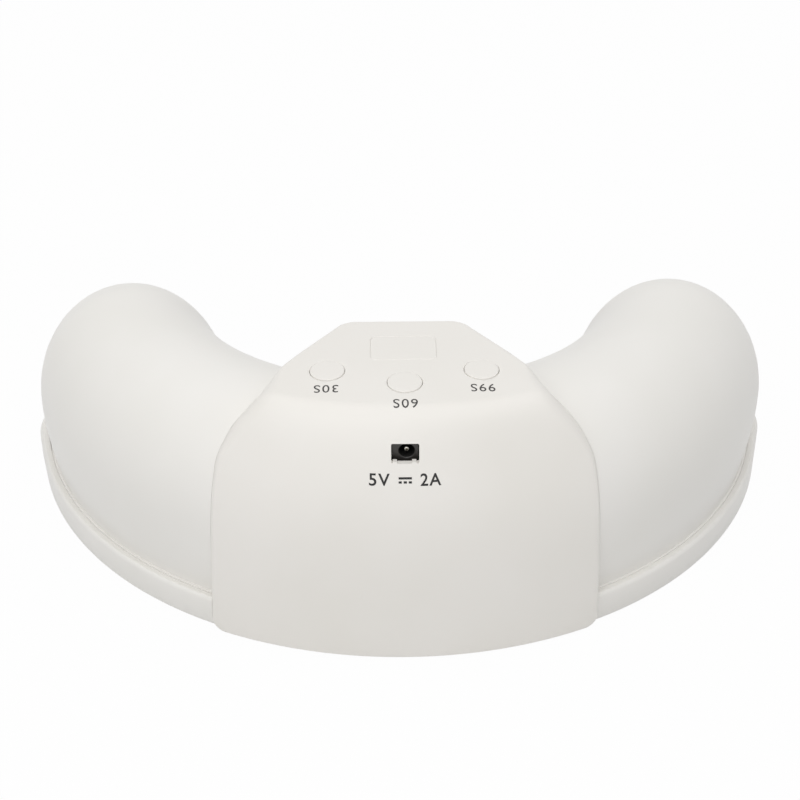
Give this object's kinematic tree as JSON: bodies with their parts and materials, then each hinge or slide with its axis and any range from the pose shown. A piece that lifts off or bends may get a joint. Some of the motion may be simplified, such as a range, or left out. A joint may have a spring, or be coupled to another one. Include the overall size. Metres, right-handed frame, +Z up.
{
  "type": "uv nail lamp",
  "caption": "Nail lamp for both hands: a crescent canopy with a hand bay at each side, on a tray, and a saddle-shaped cover that holds timer buttons, a display and a power socket.",
  "frame": {"origin": "on the surface that the rubber feet stand on, under the middle of the lamp's box", "axes": "+X to the right seen from the back (the socket's side), -Y the back with the socket, +Y the user's side with the mouths, +Z up"},
  "size_m": [0.2808, 0.1582, 0.0872],
  "materials": {
    "shell_white": "injection-moulded ABS, satin gloss",
    "cover_white": "injection-moulded ABS, satin gloss",
    "window_frosted": "frosted translucent acrylic",
    "reflector_aluminium": "bright formed aluminium sheet",
    "black_plastic": "moulded black plastic",
    "foot_rubber": "matte grey rubber",
    "board_green": "glass-epoxy circuit board with green solder mask",
    "board_white": "circuit board with white solder mask",
    "screw_steel": "zinc-plated steel",
    "contact_nickel": "nickel-plated contact",
    "sensor_dark": "dark infrared-pass plastic",
    "lead_red": "PVC-insulated wire"
  },
  "bodies": {
    "lamp": {"base_tray": "shell_white", "board_header": "black_plastic", "board_screw_1": "screw_steel", "board_screw_2": "screw_steel", "board_screw_3": "screw_steel", "board_screw_4": "screw_steel", "canopy_shell": "shell_white", "centre_cover": "cover_white", "cover_screw_1": "screw_steel", "cover_screw_2": "screw_steel", "cover_screw_3": "screw_steel", "cover_screw_4": "screw_steel", "display_board": "board_green", "display_module": "black_plastic", "display_window": "window_frosted", "driver_chip": "black_plastic", "hand_sensor_left": "sensor_dark", "hand_sensor_right": "sensor_dark", "lamp_board_centre": "board_white", "lamp_board_left": "board_white", "lamp_board_right": "board_white", "lamp_lead_left": "lead_red", "lamp_lead_right": "lead_red", "power_board": "board_green", "power_capacitor": "black_plastic", "reflector_centre": "reflector_aluminium", "reflector_left": "reflector_aluminium", "reflector_right": "reflector_aluminium", "rubber_foot_1": "foot_rubber", "rubber_foot_2": "foot_rubber", "rubber_foot_3": "foot_rubber", "rubber_foot_4": "foot_rubber", "rubber_foot_5": "foot_rubber", "rubber_foot_6": "foot_rubber", "socket_body": "black_plastic", "socket_contact": "contact_nickel", "socket_pin": "contact_nickel", "switch_body_30s": "black_plastic", "switch_body_60s": "black_plastic", "switch_body_99s": "black_plastic", "tray_screw_1": "screw_steel", "tray_screw_2": "screw_steel", "tray_screw_3": "screw_steel", "tray_screw_4": "screw_steel", "tray_screw_5": "screw_steel", "tray_screw_6": "screw_steel"},
    "button_30s": {"button_cap_30s": "cover_white", "switch_stem_30s": "black_plastic"},
    "button_60s": {"button_cap_60s": "cover_white", "switch_stem_60s": "black_plastic"},
    "button_99s": {"button_cap_99s": "cover_white", "switch_stem_99s": "black_plastic"}
  },
  "joints": [
    {"name": "press_30s", "type": "slide", "parent": "lamp", "child": "button_30s", "axis": [0, 0, -1], "range_m": [0, 0.0008], "stiffness_N_per_m": 1500, "springref_m": -0.0004},
    {"name": "press_60s", "type": "slide", "parent": "lamp", "child": "button_60s", "axis": [0, 0, -1], "range_m": [0, 0.0008], "stiffness_N_per_m": 1500, "springref_m": -0.0004},
    {"name": "press_99s", "type": "slide", "parent": "lamp", "child": "button_99s", "axis": [0, 0, -1], "range_m": [0, 0.0008], "stiffness_N_per_m": 1500, "springref_m": -0.0004}
  ]
}
